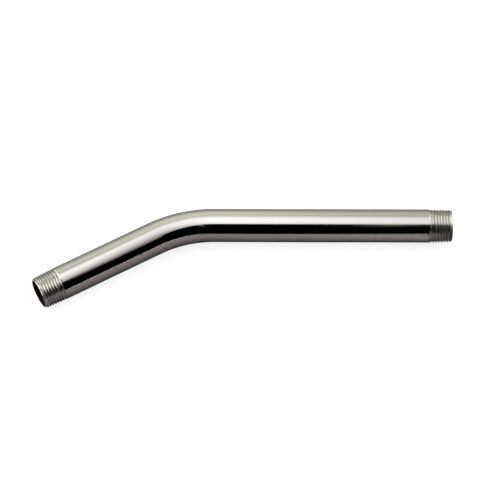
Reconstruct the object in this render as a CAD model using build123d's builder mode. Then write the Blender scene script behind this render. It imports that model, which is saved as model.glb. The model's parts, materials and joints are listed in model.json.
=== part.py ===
"""Bent shower arm: one plated brass tube, open right through, with a tapered pipe thread blank at each end."""

import os

from build123d import *

# Tube, in millimetres
tube_diameter = 21.3
wall_thickness = 2.45

# Centreline, from the wall end to the shower head end, with the bend in degrees
wall_run = 152.0
bend_radius = 77.0
bend_angle = 30.0
outlet_run = 82.5

# Thread blanks: the taper is the change of diameter over length, and the thread's crests follow it
thread_taper = 1 / 16
taper_length = 9.9
end_land = 0.5
mouth_chamfer = 0.5
cutter_clearance = 1.0

# Derived radii, with the slope of the taper's side
tube_radius = tube_diameter / 2
bore_radius = tube_radius - wall_thickness
taper_slope = thread_taper / 2
blank_radius = tube_radius - taper_length * taper_slope
nose_radius = bore_radius + mouth_chamfer + end_land
nose_chamfer = blank_radius - nose_radius

with BuildPart() as shower_arm:
    # The arm lies on its side: its centreline leaves the wall end along -X and turns towards -Y.
    with BuildLine():
        wall_leg = Line((0, 0), (-wall_run, 0))
        bend = JernArc(wall_leg @ 1, wall_leg % 1, bend_radius, bend_angle)
        outlet_leg = PolarLine(bend @ 1, outlet_run, direction=bend % 1)
    with BuildSketch(Plane.YZ):
        Circle(tube_radius)
        Circle(bore_radius, mode=Mode.SUBTRACT)
    sweep()

    # Both ends are turned to the thread's taper. On each plane x points out of the tube, along its axis.
    wall_end = Plane(wall_leg @ 0, x_dir=-(wall_leg % 0), z_dir=(0, 0, 1))
    outlet_end = Plane(outlet_leg @ 1, x_dir=outlet_leg % 1, z_dir=(0, 0, 1))
    for end in (wall_end, outlet_end):
        with BuildSketch(end):
            with BuildLine():
                Polyline(
                    (-taper_length, tube_radius),
                    (cutter_clearance, blank_radius - cutter_clearance * taper_slope),
                    (cutter_clearance, tube_radius + cutter_clearance),
                    (-taper_length, tube_radius + cutter_clearance),
                    close=True,
                )
            make_face()
        revolve(axis=Axis(end.origin, end.x_dir), mode=Mode.SUBTRACT)

    # The nose starts the thread in its fitting, and the mouth of the waterway is reamed.
    noses = [face.outer_wire().edge() for face in faces().filter_by(GeomType.PLANE)]
    chamfer(noses, nose_chamfer)
    mouths = [face.inner_wires()[0].edge() for face in faces().filter_by(GeomType.PLANE)]
    chamfer(mouths, mouth_chamfer)

shower_arm.part.label = "shower_arm"

os.makedirs("parts", exist_ok=True)
export_step(shower_arm.part, "parts/shower_arm.step")
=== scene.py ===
# %% [markdown]
# # A bent shower arm
#
# The real object is one length of half-inch brass pipe. It is bent once, a tapered pipe thread is cut on
# both of its ends, and the whole of it is plated with nickel and buffed until it mirrors the room.
#
# Three things make it look right: a bend with no flat spots, threads that are cut and not painted on, and
# something worth mirroring all round it. The lesson takes them in that order.

# %% The frame
import json
import math

import bmesh
import bpy
from mathutils import Matrix, Vector


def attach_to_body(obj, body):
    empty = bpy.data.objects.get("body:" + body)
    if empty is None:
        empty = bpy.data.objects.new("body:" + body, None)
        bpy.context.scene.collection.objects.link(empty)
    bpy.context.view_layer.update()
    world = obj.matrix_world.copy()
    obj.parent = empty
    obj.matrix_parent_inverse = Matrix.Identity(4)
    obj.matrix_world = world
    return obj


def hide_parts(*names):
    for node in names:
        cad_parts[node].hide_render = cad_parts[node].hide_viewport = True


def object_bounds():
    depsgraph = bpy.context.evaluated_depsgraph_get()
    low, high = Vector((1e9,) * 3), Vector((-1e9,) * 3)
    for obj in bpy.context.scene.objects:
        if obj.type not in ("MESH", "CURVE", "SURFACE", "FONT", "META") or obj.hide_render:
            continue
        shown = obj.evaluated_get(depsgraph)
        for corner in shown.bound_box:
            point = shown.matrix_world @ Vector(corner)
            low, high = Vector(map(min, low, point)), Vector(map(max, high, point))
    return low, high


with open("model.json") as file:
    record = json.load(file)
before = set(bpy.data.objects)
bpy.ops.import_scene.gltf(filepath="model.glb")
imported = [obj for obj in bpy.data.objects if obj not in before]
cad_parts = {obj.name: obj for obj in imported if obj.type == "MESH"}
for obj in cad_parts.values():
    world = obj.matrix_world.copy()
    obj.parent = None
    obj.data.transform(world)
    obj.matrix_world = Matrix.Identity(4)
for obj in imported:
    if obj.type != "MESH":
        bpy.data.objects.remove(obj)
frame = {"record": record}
cad_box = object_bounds()
record = frame["record"]
print("CAD box:", [tuple(round(value, 5) for value in corner) for corner in cad_box])

# %% [markdown]
# ## Sizes
#
# The packed record already says how the pipe runs. The plain outside of its wall leg gives the outer radius,
# the two waterways give the bore and the straight lengths, and the outlet's thread gives the direction after
# the bend. Reading those is safer than typing them again, because the piece then follows the solid if that
# changes.

# %% The pipe, read from the record
MILLIMETRE = 0.001
mounts = {mount["name"]: mount for mount in record["mounts"]}


def mount_size(mount, size):
    return mounts[mount]["dims"][size] * MILLIMETRE


mouth_chamfer = 0.5 * MILLIMETRE
end_land = 0.5 * MILLIMETRE
tube_radius = mount_size("plate_seat", "r_mm")
bore_radius = mount_size("wall_waterway", "r_mm")
wall_run = mount_size("wall_waterway", "length_mm") + mouth_chamfer
outlet_run = mount_size("outlet_waterway", "length_mm") + mouth_chamfer
taper_length = wall_run - mount_size("plate_seat", "length_mm")
print(f"pipe {2 * tube_radius:.4f} m across, with a bore of {2 * bore_radius:.4f} m")
print(f"straight runs of {wall_run:.4f} and {outlet_run:.4f} m")

# %% The bend, worked out from where the outlet is
outlet = Vector(mounts["outlet_thread"]["pos_m"])
outlet_axis = Vector(mounts["outlet_thread"]["axis"])
bend_angle = math.atan2(-outlet_axis.y, -outlet_axis.x)
bend_radius = (-outlet.y - outlet_run * math.sin(bend_angle)) / (1 - math.cos(bend_angle))
path_length = wall_run + bend_radius * bend_angle + outlet_run
print(f"bend {math.degrees(bend_angle):.2f} degrees at {bend_radius:.4f} m, centreline {path_length:.4f} m")

# %% The thread
INCH = 25.4 * MILLIMETRE
threads_per_inch = 14
thread_turns = 8.25
thread_taper = 1 / 16
thread_flank = math.radians(60)
root_flat = 0.02 * MILLIMETRE
crest_flat = 0.36 * MILLIMETRE
edge_rounding = 0.14 * MILLIMETRE
lead_in = 2.6 * MILLIMETRE
run_out = 2.4 * MILLIMETRE
wall_start_turn = 20 / 24
outlet_start_turn = 6 / 24
thread_pitch = INCH / threads_per_inch
thread_length = thread_turns * thread_pitch
nose_radius = bore_radius + mouth_chamfer + end_land
blank_radius = tube_radius - taper_length * thread_taper / 2
thread_depth = (thread_pitch - crest_flat - root_flat) / 2 * math.tan(thread_flank)
print(f"thread pitch {thread_pitch:.6f} m, depth {thread_depth:.6f} m, length {thread_length:.6f} m")

# %% [markdown]
# ## Writing node trees as sums
#
# Shaders and Geometry Nodes are both made of nodes joined by wires. Adding each Math node by hand hides the
# formula, so one small class wraps an output socket and teaches it Python's operators. After that
# `1 - mask` is a node tree, and it reads as what it does.

# %% A socket that can be calculated with


class Wire:
    """An output socket of a node tree. Operators on it add Math nodes to that tree."""

    def __init__(self, tree, socket=None):
        self.tree = tree
        self.socket = socket

    def node(self, kind, settings=None, inputs=None, output=0):
        """Adds a node: first its settings, then the value, the wire or the list of wires of each socket."""
        made = self.tree.nodes.new(kind)
        for name, value in (settings or {}).items():
            setattr(made, name, value)
        for name, value in (inputs or {}).items():
            if isinstance(value, (Wire, list)):
                for wire in value if isinstance(value, list) else [value]:
                    self.tree.links.new(wire.socket, made.inputs[name])
            else:
                made.inputs[name].default_value = value
        return Wire(self.tree, made.outputs[output] if made.outputs else None)

    def math(self, operation, *values):
        return self.node("ShaderNodeMath", {"operation": operation}, dict(enumerate(values)))

    def __add__(self, other):
        return self.math("ADD", self, other)

    def __radd__(self, other):
        return self.math("ADD", other, self)

    def __sub__(self, other):
        return self.math("SUBTRACT", self, other)

    def __rsub__(self, other):
        return self.math("SUBTRACT", other, self)

    def __mul__(self, other):
        return self.math("MULTIPLY", self, other)

    def __rmul__(self, other):
        return self.math("MULTIPLY", other, self)

    def __truediv__(self, other):
        return self.math("DIVIDE", self, other)

    def __rpow__(self, other):
        return self.math("POWER", other, self)

    def __abs__(self):
        return self.math("ABSOLUTE", self)

    def at_least(self, other):
        return self.math("MAXIMUM", self, other)

    def at_most(self, other):
        return self.math("MINIMUM", self, other)

    def clamped(self):
        return self.at_least(0).at_most(1)

    def sine(self):
        return self.math("SINE", self)

    def cosine(self):
        return self.math("COSINE", self)

    def axes(self):
        """The x, y and z of a vector, as three wires."""
        split = self.node("ShaderNodeSeparateXYZ", inputs={"Vector": self}).socket.node
        return [Wire(self.tree, socket) for socket in split.outputs]


print("Wire adds", [name for name in vars(Wire) if not name.startswith("_")])

# %% [markdown]
# ## The arm as a rule
#
# A pipe could be a curve with a round bevel, but a bevel can't cut a thread. Here every surface of the arm is
# a flat grid that a rule wraps round the centreline: how far down the path, how far round, and how far out.
# Only the last of these differs between the plain pipe, the bore, the chamfers and the thread, so one
# Geometry Nodes tree makes the whole arm, and each size is a named input of it.

# %% The tree and its inputs
columns = 128
rows_per_turn = 24
pipe_rows = 96
arm_sizes = {
    "Tube radius": tube_radius,
    "Bore radius": bore_radius,
    "Nose radius": nose_radius,
    "Blank radius": blank_radius,
    "Mouth chamfer": mouth_chamfer,
    "Wall run": wall_run,
    "Bend radius": bend_radius,
    "Bend angle": bend_angle,
    "Path length": path_length,
    "Thread length": thread_length,
    "Thread pitch": thread_pitch,
    "Thread depth": thread_depth,
    "Thread taper": thread_taper,
    "Lead-in": lead_in,
    "Run-out": run_out,
    "Columns": columns,
    "Thread rows": round((thread_turns + 1) * rows_per_turn),
    "Pipe rows": pipe_rows,
}
arm_tree = bpy.data.node_groups.new("threaded_arm", "GeometryNodeTree")
for size_name, size_value in arm_sizes.items():
    size_kind = "NodeSocketInt" if isinstance(size_value, int) else "NodeSocketFloat"
    arm_tree.interface.new_socket(size_name, in_out="INPUT", socket_type=size_kind)
arm_tree.interface.new_socket("Plating", in_out="INPUT", socket_type="NodeSocketMaterial")
arm_tree.interface.new_socket("Arm", in_out="OUTPUT", socket_type="NodeSocketGeometry")
arm_input = arm_tree.nodes.new("NodeGroupInput")
given = {socket.name: Wire(arm_tree, socket) for socket in arm_input.outputs if socket.name}
print("threaded_arm takes", list(given))

# %% [markdown]
# ### Following the bend
#
# The centreline is a straight run, an arc and another straight run. One number says how far the path has
# turned: zero on the first run, the whole bend on the last, and the arc's share in between. With it the same
# three lines place a point anywhere on the arm, and the runs meet the arc with no step.

# %% A point on the arm


def wrapped(distance, around, radius):
    """The place this far down the centreline, this share of a turn round it and this far out from it."""
    turned = ((distance - given["Wall run"]) / given["Bend radius"]).at_least(0).at_most(given["Bend angle"])
    past = distance - given["Wall run"] - given["Bend radius"] * turned
    angle = around * math.tau
    sideways = radius * angle.cosine()
    x = 0 - given["Wall run"] - (given["Bend radius"] + sideways) * turned.sine() - past * turned.cosine()
    y = (given["Bend radius"] + sideways) * turned.cosine() - given["Bend radius"] - past * turned.sine()
    z = radius * angle.sine()
    return distance.node("ShaderNodeCombineXYZ", inputs={"X": x, "Y": y, "Z": z})


print("a point is placed by its distance, its share of a turn and its radius")

# %% A sheet wrapped round the arm
grid_half = 0.5


def sheet(rows, start, finish, radius_rule, lead=0.0, inside=0.0):
    """A grid from start to finish down the path. A lead slants its rows, so that they follow a helix."""
    root = Wire(arm_tree)
    corners = {"Size X": 1.0, "Size Y": 1.0, "Vertices X": given["Columns"] + 1, "Vertices Y": rows + 1}
    grid = root.node("GeometryNodeMeshGrid", inputs=corners)
    flat_x, flat_y, _ = root.node("GeometryNodeInputPosition").axes()
    around = flat_x + grid_half
    down = flat_y + grid_half
    slanted = start + (finish - start + lead) * down - lead * around
    distance = slanted.at_least(start).at_most(finish)
    radius, groove = radius_rule(distance, around, down)
    made = grid
    stored = (("along", "POINT", distance), ("groove", "POINT", groove), ("inside", "FACE", inside))
    for name, domain, value in stored:
        settings = {"data_type": "FLOAT", "domain": domain}
        inputs = {"Geometry": made, "Name": name, "Value": value}
        made = root.node("GeometryNodeStoreNamedAttribute", settings, inputs)
    placed = {"Geometry": made, "Position": wrapped(distance, around, radius)}
    return root.node("GeometryNodeSetPosition", inputs=placed)


print("a sheet has", columns, "columns and stores along, groove and inside")

# %% [markdown]
# ### Cutting the thread
#
# A tapered pipe thread is a sixty-degree groove that climbs round a cone. Seen down the pipe, its profile is
# a saw with rounded tips and roots. Other cuts limit it: the nose chamfer that lets it start in a fitting and
# keeps its first turn shallow, the outside of the pipe, and the run-out, where the die backed off.
# A smaller-of and a larger-of choose which cut is showing. The rows of the grid are slanted along the helix,
# so its crests are clean lines of edges and not a staircase.

# %% The thread's radius
half_turn = 0.5


def thread_rule(end_distance, thread_start, start_turn):
    """A rule for the thread that starts here. end_distance says how far in from its end a point lies."""

    def rule(distance, around, down):
        inward = end_distance(distance)
        turns = (distance - thread_start) / given["Thread pitch"] + around + start_turn
        from_root = abs(turns.math("FRACT", turns) - half_turn) * given["Thread pitch"]
        flank = (from_root - root_flat / 2) * math.tan(thread_flank)
        raised = flank.math("SMOOTH_MAX", flank, 0.0, edge_rounding)
        height = raised.math("SMOOTH_MIN", raised, given["Thread depth"], edge_rounding)
        crest_cone = given["Blank radius"] + inward * given["Thread taper"] / 2
        root_cone = crest_cone - given["Thread depth"]
        nose_cone = given["Nose radius"] + inward
        run_out_slope = given["Thread depth"] / given["Run-out"]
        run_out_cone = given["Tube radius"] - (given["Thread length"] - inward) * run_out_slope
        ceiling = crest_cone.at_most(nose_cone).at_most(given["Tube radius"])
        lead_in_floor = ceiling - inward * given["Thread depth"] / given["Lead-in"]
        started = (root_cone + height).at_least(lead_in_floor).at_most(nose_cone)
        finished = started.at_least(run_out_cone)
        radius = finished.at_least(given["Nose radius"]).at_most(given["Tube radius"])
        groove = ((ceiling - radius) / given["Thread depth"]).clamped()
        return radius, groove

    return rule


print(f"a thread leads in over {lead_in:.4f} m and runs out over {run_out:.4f} m")

# %% The plain surfaces' radii


def from_wall(distance):
    return distance


def from_outlet(distance):
    return given["Path length"] - distance


def pipe_rule(distance, around, down):
    return given["Tube radius"], 0.0


def bore_rule(distance, around, down):
    return given["Bore radius"], 0.0


def land_rule(distance, around, down):
    return given["Nose radius"] - (given["Nose radius"] - mouth_radius) * down, 0.0


def mouth_rule(end_distance):
    def rule(distance, around, down):
        return mouth_radius - end_distance(distance), 0.0

    return rule


mouth_radius = given["Bore radius"] + given["Mouth chamfer"]
print("rules for the thread, the pipe, the bore, the land at each end and the reamed mouths")

# %% All the sheets
wall_tip = 0.0
outlet_tip = given["Path length"]
outlet_thread_start = given["Path length"] - given["Thread length"]
outlet_mouth_start = given["Path length"] - given["Mouth chamfer"]
wall_rule = thread_rule(from_wall, wall_tip, wall_start_turn)
outlet_rule = thread_rule(from_outlet, outlet_thread_start, outlet_start_turn)
pitch = given["Thread pitch"]
sheets = [
    sheet(given["Thread rows"], wall_tip, given["Thread length"], wall_rule, lead=pitch),
    sheet(given["Pipe rows"], given["Thread length"], outlet_thread_start, pipe_rule),
    sheet(given["Thread rows"], outlet_thread_start, outlet_tip, outlet_rule, lead=pitch),
    sheet(1, wall_tip, wall_tip, land_rule),
    sheet(1, outlet_tip, outlet_tip, land_rule),
    sheet(1, wall_tip, given["Mouth chamfer"], mouth_rule(from_wall), inside=1.0),
    sheet(1, outlet_mouth_start, outlet_tip, mouth_rule(from_outlet), inside=1.0),
    sheet(given["Pipe rows"], given["Mouth chamfer"], outlet_mouth_start, bore_rule, inside=1.0),
]
print(len(sheets), "sheets")

# %% The end of the tree
weld_distance = 0.002 * MILLIMETRE
joined = Wire(arm_tree).node("GeometryNodeJoinGeometry", inputs={"Geometry": sheets})
welded = joined.node("GeometryNodeMergeByDistance", inputs={"Geometry": joined, "Distance": weld_distance})
smooth = welded.node("GeometryNodeSetShadeSmooth", inputs={"Geometry": welded})
real = smooth.node("GeometryNodeRealizeInstances", inputs={"Geometry": smooth})
plated = real.node("GeometryNodeSetMaterial", inputs={"Geometry": real, "Material": given["Plating"]})
plated.node("NodeGroupOutput", inputs={"Arm": plated})
print(len(arm_tree.nodes), "nodes in threaded_arm")

# %% [markdown]
# ## Polished nickel
#
# Nickel is a mirror with a touch of straw in it, so the blue of what it reflects comes back a little weaker.
# The buffing wheel goes round the pipe and leaves faint rings, and the plating has a skin as fine as orange
# peel. The wheel only skims the thread, which keeps some satin and is dullest at its bottom. Down there the
# colour is also paler and less straw, a painted lift of light. The bore is never buffed, and its near-black
# colour is painted shade. The tree stored how far along the pipe and how deep in the groove a point lies, and
# which faces are inside, so one material covers it all.

# %% Colours and surface values
nickel_pale = (0.735, 0.725, 0.655, 1)
nickel_straw = (0.705, 0.690, 0.605, 1)
# A paler, less straw colour for the bottom of the thread's grooves: a painted lift of light there.
groove_painted_light = (0.740, 0.734, 0.714, 1)
# The bore's near-black colours are painted shade, which the noise varies at random.
bore_painted_shade = (0.040, 0.035, 0.030, 1)
bore_stain_and_shade = (0.018, 0.015, 0.013, 1)
buffed_roughness = 0.06
ring_roughness = 0.05
groove_roughness = 0.10
satin_roughness = 0.28
satin_share = 0.30
satin_fade = 2.0 * MILLIMETRE
bore_extra_roughness = 0.50
rings_per_metre = 2600
tone_scale = 30
tone_detail = 3.0
peel_scale = 850
fine_detail = 2.0
peel_height = 0.004 * MILLIMETRE
peel_strength = 0.10
print(f"nickel mirrors {nickel_pale[0]:.2f} of the red and {nickel_pale[2]:.2f} of the blue")

# %% A new material


def new_material(name):
    """A material with only a Principled shader and its output, and a Wire to build the rest with."""
    material = bpy.data.materials.new(name)
    material.use_nodes = True
    shader = material.node_tree.nodes["Principled BSDF"]
    return material, shader, Wire(material.node_tree)


def attach(wire, shader, socket):
    wire.tree.links.new(wire.socket, shader.inputs[socket])


def mixed(factor, first, second):
    """A colour between two others. Each is a tuple or a wire."""
    colour_factor, colour_first, colour_second, colour_result = 0, 6, 7, 2
    inputs = {colour_factor: factor, colour_first: first, colour_second: second}
    return factor.node("ShaderNodeMix", {"data_type": "RGBA"}, inputs, colour_result)


print("helpers: a new material, a link and a mix of two colours")

# %% The plating
plating, plating_shader, plating_root = new_material("polished_nickel")
groove = plating_root.node("ShaderNodeAttribute", {"attribute_name": "groove"}, output="Fac")
inside = plating_root.node("ShaderNodeAttribute", {"attribute_name": "inside"}, output="Fac")
along = plating_root.node("ShaderNodeAttribute", {"attribute_name": "along"}, output="Fac")
place = plating_root.node("ShaderNodeTexCoord", output="Object")
tone = place.node("ShaderNodeTexNoise", inputs={"Vector": place, "Scale": tone_scale, "Detail": tone_detail})
ring_settings = {"noise_dimensions": "1D"}
ring_inputs = {"W": along * rings_per_metre, "Scale": 1.0, "Detail": fine_detail}
rings = along.node("ShaderNodeTexNoise", ring_settings, ring_inputs)
peel = place.node("ShaderNodeTexNoise", inputs={"Vector": place, "Scale": peel_scale, "Detail": fine_detail})
# Down the thread's grooves the colour turns to the painted lift of light.
metal_colour = mixed(groove, mixed(tone, nickel_pale, nickel_straw), groove_painted_light)
# Inside the bore the colour is painted shade, mottled by the noise.
attach(mixed(inside, metal_colour, mixed(tone, bore_painted_shade, bore_stain_and_shade)), plating_shader, "Base Color")
outside_roughness = buffed_roughness + rings * ring_roughness + groove * groove_roughness
attach(outside_roughness + inside * bore_extra_roughness, plating_shader, "Roughness")
bump_inputs = {"Strength": peel_strength, "Distance": peel_height, "Height": peel}
skin = peel.node("ShaderNodeBump", inputs=bump_inputs)
attach(skin, plating_shader, "Normal")
plating_shader.inputs["Metallic"].default_value = 1.0
print("the buffed surface takes", len(plating.node_tree.nodes), "nodes")

# %% The satin of the thread
middle = path_length / 2
threaded = ((abs(along - middle) - middle + thread_length) / satin_fade).clamped() * (1 - inside)
satin_inputs = {"Base Color": metal_colour, "Normal": skin, "Metallic": 1.0, "Roughness": satin_roughness}
satin = plating_root.node("ShaderNodeBsdfPrincipled", inputs=satin_inputs)
polish = Wire(plating.node_tree, plating_shader.outputs["BSDF"])
mix_factor, mix_first, mix_second = 0, 1, 2
mix_inputs = {mix_factor: threaded * satin_share, mix_first: polish, mix_second: satin}
both = plating_root.node("ShaderNodeMixShader", inputs=mix_inputs)
attach(both, plating.node_tree.nodes["Material Output"], "Surface")
print("polished_nickel has", len(plating.node_tree.nodes), "nodes")

# %% [markdown]
# ## From tree to mesh
#
# A modifier is a promise: the shape exists only while Blender evaluates it. The export wants a plain mesh, so
# the evaluated object is copied out and the modifier goes. The sheets' seams are already welded. What remains
# is to turn every face outwards, which is safe because the arm is one closed skin, outside and bore together.

# %% The arm's mesh
holder = bpy.data.objects.new("arm_holder", bpy.data.meshes.new("arm_holder"))
bpy.context.scene.collection.objects.link(holder)
arm_modifier = holder.modifiers.new("threaded_arm", "NODES")
arm_modifier.node_group = arm_tree
for item in arm_tree.interface.items_tree:
    if item.in_out == "INPUT":
        arm_modifier[item.identifier] = plating if item.name == "Plating" else arm_sizes[item.name]
evaluated = holder.evaluated_get(bpy.context.evaluated_depsgraph_get())
arm_mesh = bpy.data.meshes.new_from_object(evaluated)
holder.modifiers.remove(arm_modifier)
bpy.data.objects.remove(holder)
print("attributes:", [attribute.name for attribute in arm_mesh.attributes])

# %% Faces outward, sharp corners marked
CENTIMETRE = 0.01
sharp_angle = math.radians(38)
thread_edges = (thread_length, path_length - thread_length)
shell = bmesh.new()
shell.from_mesh(arm_mesh)
bmesh.ops.recalc_face_normals(shell, faces=shell.faces)
along_layer = shell.verts.layers.float["along"]


def on_thread_edge(edge):
    """True on the two rings where the plain pipe ends and a thread begins."""
    distances = [vertex[along_layer] for vertex in edge.verts]
    return any(max(abs(distance - ring) for distance in distances) < weld_distance for ring in thread_edges)


for edge in shell.edges:
    edge.smooth = edge.calc_face_angle(math.pi) < sharp_angle and not on_thread_edge(edge)
open_edges = sum(not edge.is_manifold for edge in shell.edges)
metal_volume = shell.calc_volume(signed=True)
triangles = sum(len(face.verts) - 2 for face in shell.faces)
shell.to_mesh(arm_mesh)
shell.free()
print(f"{triangles} triangles, {open_edges} open edges")
print(f"{metal_volume / CENTIMETRE ** 3:.2f} cubic centimetres of metal")

# %% The arm joins the frame
arm_mesh.name = "threaded_shower_arm"
arm = bpy.data.objects.new("threaded_shower_arm", arm_mesh)
bpy.context.scene.collection.objects.link(arm)
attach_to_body(arm, "root")
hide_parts("shower_arm")
print(arm.name, "rides on root and stands for shower_arm")

# %% [markdown]
# ## A studio to mirror
#
# A mirror has no look of its own, so half of the finish is what stands round it. The arm lies on white paper
# in a photographer's tent, and the tent is made of plain cards. Some glow, some are grey or black, and most
# are hidden from the camera, which must see only white behind the arm. A card that glows more is also paler,
# because the filter that cleans the render looks at the colour of what is mirrored as well.

# %% A flat card for the studio


def card(name, corners, material):
    """A flat stage piece with these corners, in order round its edge."""
    mesh = bpy.data.meshes.new(name)
    mesh.from_pydata(corners, [], [tuple(range(len(corners)))])
    mesh.materials.append(material)
    made = bpy.data.objects.new(name, mesh)
    bpy.context.scene.collection.objects.link(made)
    return made


def level(left, right, front, back, height):
    """The corners of a level rectangle."""
    return [(left, front, height), (right, front, height), (right, back, height), (left, back, height)]


def hide_from_camera(stage_piece):
    """Leaves a stage piece to the reflections and the light."""
    stage_piece.visible_camera = False
    stage_piece.visible_transmission = False
    stage_piece.visible_volume_scatter = False


def only_mirrored(stage_piece):
    """Leaves a stage piece to the reflections alone."""
    hide_from_camera(stage_piece)
    stage_piece.visible_diffuse = False
    stage_piece.visible_shadow = False


print("helpers: a card, a level rectangle and two ways to hide a card")

# %% Light and paper
black = (0, 0, 0, 1)
cloth_white = (0.5, 0.5, 0.5, 1)
paper_roughness = 0.9


def matt(material_shader):
    """Makes a stage material as dull as paper."""
    material_shader.inputs["Roughness"].default_value = paper_roughness
    material_shader.inputs["Specular IOR Level"].default_value = 0.0


def glowing_cloth(material_shader, share, brightest):
    """Makes a stage material a cloth that glows, paler where it is brighter."""
    attach(mixed(share, black, brightest), material_shader, "Emission Color")
    attach(mixed(share, black, cloth_white), material_shader, "Base Color")
    material_shader.inputs["Emission Strength"].default_value = 1.0
    matt(material_shader)


print("stage pieces are cards of cloth or paper")

# %% [markdown]
# ### The floor and what the underside mirrors
#
# The floor is white right up to the arm and keeps its soft shadow, yet the underside of a polished pipe
# mirrors grey. So a grey table lies a hair above the floor and only the plating sees it. Shade is painted
# into it close to the arm, where the arm keeps the light from it, and it ends towards the camera, where the
# black stripe begins.
# A black card past the wall end keeps the last turns of that thread dark.

# %% The white floor
floor_height = cad_box[0].z
floor_reach = 4.0
floor_white = (0.45, 0.45, 0.45, 1)
floor_lift = 0.86
floor_material, floor_shader, floor_root = new_material("white_floor")
rays = floor_root.node("ShaderNodeLightPath").socket.node.outputs
by_camera = Wire(floor_material.node_tree, rays["Is Camera Ray"])
by_mirrors = Wire(floor_material.node_tree, rays["Is Glossy Ray"])
by_glass = Wire(floor_material.node_tree, rays["Is Transmission Ray"])
lift_share = (by_camera + by_mirrors + by_glass).clamped()
attach(mixed(lift_share, black, (floor_lift, floor_lift, floor_lift, 1)), floor_shader, "Emission Color")
floor_shader.inputs["Emission Strength"].default_value = 1.0
floor_shader.inputs["Base Color"].default_value = floor_white
matt(floor_shader)
floor_corners = level(-floor_reach, floor_reach, -floor_reach, floor_reach, floor_height)
card("floor", floor_corners, floor_material)
print("floor at", round(floor_height, 5))

# %% The grey table that the plating mirrors
table_lift = 0.05 * MILLIMETRE
table_grey = (0.45, 0.405, 0.44, 1)
outlet_grey = (0.325, 0.293, 0.318, 1)
outlet_fade = 0.25
table_back = (0.40, 0.40, 0.42, 1)
# Black past the table's edges, and the painted shade close to the arm.
table_black_and_painted_shade = (0.01, 0.01, 0.01, 1)
back_fade = 0.03
table_front = -0.23
table_fade = 0.06
table_end = 0.012
end_fade = 0.03
table_margins = (0.35, 0.03)
shade_reach = 0.05
table_material, table_shader, table_root = new_material("grey_table")
table_x, table_y, _ = table_root.node("ShaderNodeTexCoord", output="Object").axes()
# Ambient occlusion paints shade into the table's colour close to the arm.
painted_shade_openness = table_root.node("ShaderNodeAmbientOcclusion", inputs={"Distance": shade_reach}, output="AO")
end_share = ((table_end - table_x) / end_fade).clamped()
front_share = ((table_y - table_front) / table_fade).clamped()
lit_share = front_share * end_share * painted_shade_openness
corner_x = wall_run + bend_radius * math.tan(bend_angle / 2)
centre_y = ((table_x + corner_x) * math.tan(bend_angle)).at_most(0)
front_colour = mixed((0 - table_x / outlet_fade).clamped(), table_grey, outlet_grey)
table_colour = mixed(((table_y - centre_y) / back_fade).clamped(), front_colour, table_back)
attach(mixed(lit_share, table_black_and_painted_shade, table_colour), table_shader, "Base Color")
matt(table_shader)
table_height = floor_height + table_lift
table_left = cad_box[0].x - table_margins[0]
table_right = cad_box[1].x + table_margins[1]
table_corners = level(table_left, table_right, -floor_reach, floor_reach, table_height)
only_mirrored(card("grey_table", table_corners, table_material))
print("table grey at", round(table_height, 5))

# %% The black card beside the wall end
flag_left = 0.012
flag_right = 0.45
flag_front = -0.40
flag_back = -0.002
flag_black = (0.005, 0.005, 0.005, 1)
flag_material, flag_shader, _ = new_material("black_card")
flag_shader.inputs["Base Color"].default_value = flag_black
matt(flag_shader)
flag_height = table_height + table_lift
flag_corners = level(flag_left, flag_right, flag_front, flag_back, flag_height)
only_mirrored(card("black_card", flag_corners, flag_material))
print("black card at", round(flag_height, 5))

# %% [markdown]
# ### The light overhead
#
# The broad highlight along the top of the pipe is one large scrim with a lamp behind it. Its glow is a narrow
# bell curve for the lamp and a wide one for the cloth. In front of the scrim the tent is dark, so its front
# edge is the hard line where the highlight turns black. A flap on the right moves that line on the bent leg,
# and a dim valance softens it near the wall end.

# %% The scrim overhead
scrim_height = 2.4
scrim_left = -2.0
scrim_right = 1.55
scrim_front = -1.02
scrim_back = 2.15
flap_start = 1.06
flap_end = 1.26
flap_front = -1.42
hot_spot = (-0.25, 0.12)
lamp_spread = 0.22
cloth_spread = (0.96, 1.50)
lamp_share = 0.22
scrim_peak = (1.22, 1.23, 1.34, 1)
scrim_material, scrim_shader, scrim_root = new_material("lit_scrim")
scrim_x, scrim_y, _ = scrim_root.node("ShaderNodeTexCoord", output="Object").axes()
off_x = scrim_x - hot_spot[0]
off_y = scrim_y - hot_spot[1]


def bell(offset, spread):
    """One at no offset, falling away smoothly on both sides."""
    return math.e ** (0 - offset * offset / (2 * spread * spread))


across = bell(off_x, lamp_spread) * lamp_share + bell(off_x, cloth_spread[0]) * (1 - lamp_share)
glowing_cloth(scrim_shader, across * bell(off_y, cloth_spread[1]), scrim_peak)
scrim_outline = [
    (scrim_left, scrim_front),
    (flap_start, scrim_front),
    (flap_end, flap_front),
    (scrim_right, flap_front),
    (scrim_right, scrim_back),
    (scrim_left, scrim_back),
]
scrim = card("scrim", [(x, y, scrim_height) for x, y in scrim_outline], scrim_material)
hide_from_camera(scrim)
print("scrim at", scrim_height)

# %% The dim valance in front of the scrim
valance_left = 0.09
valance_right = 0.155
valance_front = -2.2
valance_tan = (0.125, 0.120, 0.092, 1)
valance_material, valance_shader, valance_root = new_material("tan_valance")
_, valance_y, _ = valance_root.node("ShaderNodeTexCoord", output="Object").axes()
valance_share = ((valance_y - valance_front) / (scrim_front - valance_front)).clamped()
glowing_cloth(valance_shader, valance_share, valance_tan)
valance_corners = level(valance_left, valance_right, valance_front, scrim_front, scrim_height)
only_mirrored(card("valance", valance_corners, valance_material))
print("valance from", valance_front, "to", scrim_front)

# %% [markdown]
# ### The sides of the tent
#
# A straight pipe hardly sees what is left and right of it, but the flanks of its threads and its chamfers do.
# Two leaning walls give them their bright lines. They stop short of the camera's side, so that the black
# stripe runs on through the threads. They are dim below, or the chamfer at the wall end would vanish against
# the white behind it. A small white card lights the outlet's chamfer.

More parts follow.
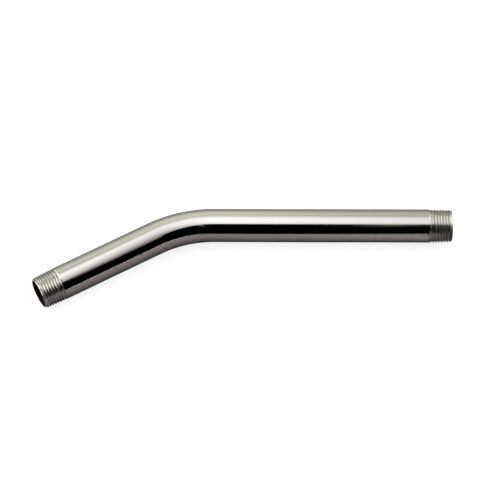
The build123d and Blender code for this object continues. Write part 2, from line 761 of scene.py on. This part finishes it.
# %% The two side walls of the tent
wall_lean = 0.88
wall_level = 2.7
wall_white = (wall_level, wall_level, wall_level, 1)
wall_foot_share = 0.36
wall_dim_rise = 0.40
wall_fronts = {"left": -1.2, "right": -0.30}
wall_fades = {"left": 0.60, "right": 0.16}
wall_back = 3.0
for side, wall_front in wall_fronts.items():
    wall_material, wall_shader, wall_root = new_material(f"{side}_wall")
    _, wall_y, wall_z = wall_root.node("ShaderNodeTexCoord", output="Object").axes()
    wall_rise = (wall_z - floor_height) / (scrim_height - floor_height)
    from_front = ((wall_y - wall_front) / wall_fades[side]).clamped()
    upper_share = ((wall_rise - wall_dim_rise) / (1 - wall_dim_rise)).clamped()
    from_foot = wall_foot_share + upper_share * (1 - wall_foot_share)
    glowing_cloth(wall_shader, from_front * from_foot, wall_white)
    top_x = scrim_left if side == "left" else scrim_right
    foot_x = top_x + math.copysign(wall_lean, top_x)
    wall_corners = [
        (foot_x, wall_front, floor_height),
        (foot_x, wall_back, floor_height),
        (top_x, wall_back, scrim_height),
        (top_x, wall_front, scrim_height),
    ]
    hide_from_camera(card(f"{side}_wall", wall_corners, wall_material))
    print(side, "wall from", foot_x, "to", top_x)

# %% The white card beside the outlet
bounce_level = 1.8
bounce_gap = 0.03
bounce_foot = floor_height + bounce_gap
bounce_place = Vector((-0.56, -0.24, bounce_foot))
bounce_size = (0.30, 0.30)
bounce_material, bounce_shader, bounce_root = new_material("white_card")
_, _, bounce_z = bounce_root.node("ShaderNodeTexCoord", output="Object").axes()
bounce_share = (1 - (bounce_z - bounce_foot) / bounce_size[1]).clamped()
glowing_cloth(bounce_shader, bounce_share, (bounce_level, bounce_level, bounce_level, 1))
bounce_side = Vector((-outlet_axis.y, outlet_axis.x, 0)) * bounce_size[0] / 2
bounce_rise = Vector((0, 0, bounce_size[1]))
bounce_corners = [
    bounce_place - bounce_side,
    bounce_place + bounce_side,
    bounce_place + bounce_side + bounce_rise,
    bounce_place - bounce_side + bounce_rise,
]
only_mirrored(card("white_card", bounce_corners, bounce_material))
print("white card at", [round(value, 3) for value in bounce_place])

# %% [markdown]
# ### The room
#
# What the cards leave open shows the room: a sphere that is dark on the camera's side and pale at the back,
# where the upper edge of the pipe looks. The camera doesn't see it. Beyond it lies a plain white world.

# %% The room
room_radius = 5.0
room_rings = 24
room_segments = 48
horizon_level = 0.385
rise_level = 0.83
room_white = (0.95, 0.97, 0.90, 1)
right_start = -0.06
right_fade = 0.48
room_material, room_shader, room_root = new_material("studio_room")
room_x, room_y, room_z = room_root.node("ShaderNodeTexCoord", output="Object").axes()
backward = (room_y / room_radius).at_least(0)
upward = (room_z / room_radius).at_least(0)
rightward = ((room_x / room_radius - right_start) / right_fade).clamped()
back_glow = backward * (horizon_level + rise_level * upward) * (1 - rightward)
glowing_cloth(room_shader, back_glow, room_white)
room_mesh = bpy.data.meshes.new("studio_room")
room_shape = bmesh.new()
bmesh.ops.create_uvsphere(room_shape, u_segments=room_segments, v_segments=room_rings, radius=room_radius)
bmesh.ops.reverse_faces(room_shape, faces=room_shape.faces)
room_shape.to_mesh(room_mesh)
room_shape.free()
room_mesh.materials.append(room_material)
room = bpy.data.objects.new("studio_room", room_mesh)
bpy.context.scene.collection.objects.link(room)
hide_from_camera(room)
print("room of", len(room_mesh.polygons), "faces")

# %% The white beyond the room
plain_white = (1, 1, 1, 1)
world = bpy.data.worlds.new("white_surround")
world.use_nodes = True
surround = world.node_tree.nodes["Background"]
surround.inputs["Color"].default_value = plain_white
surround.inputs["Strength"].default_value = 1.0
bpy.context.scene.world = world
bpy.context.scene.view_settings.view_transform = "Standard"
print("world is plain white")

# %% [markdown]
# ## The camera
#
# The photograph looks down on the arm from the front, steeply, with a long lens and no roll. Two angles, a
# distance and the point looked at give the camera's place; its rotation is built from the same three axes.

# %% Camera
camera_azimuth = math.radians(0.177)
camera_elevation = math.radians(57.51)
camera_distance = 1.4795
camera_target = Vector((-0.12918, -0.01859, 0.0))
focal_share = 4.6505
sensor_width = 36.0
camera_data = bpy.data.cameras.new("camera")
camera_data.sensor_width = sensor_width
camera_data.lens = focal_share * sensor_width
camera = bpy.data.objects.new("camera", camera_data)
bpy.context.scene.collection.objects.link(camera)
right = Vector((math.cos(camera_azimuth), math.sin(camera_azimuth), 0))
level_back = Vector((math.sin(camera_azimuth), -math.cos(camera_azimuth), 0))
back = level_back * math.cos(camera_elevation) + Vector((0, 0, math.sin(camera_elevation)))
up = back.cross(right)
turn = Matrix((right, up, back)).transposed().to_4x4()
camera.matrix_world = Matrix.Translation(camera_target + back * camera_distance) @ turn
bpy.context.scene.camera = camera
print("camera at", [round(value, 4) for value in camera.matrix_world.translation])

# %% [markdown]
# ## The arm's size
#
# The dressed arm must not outgrow the solid that it stands for.
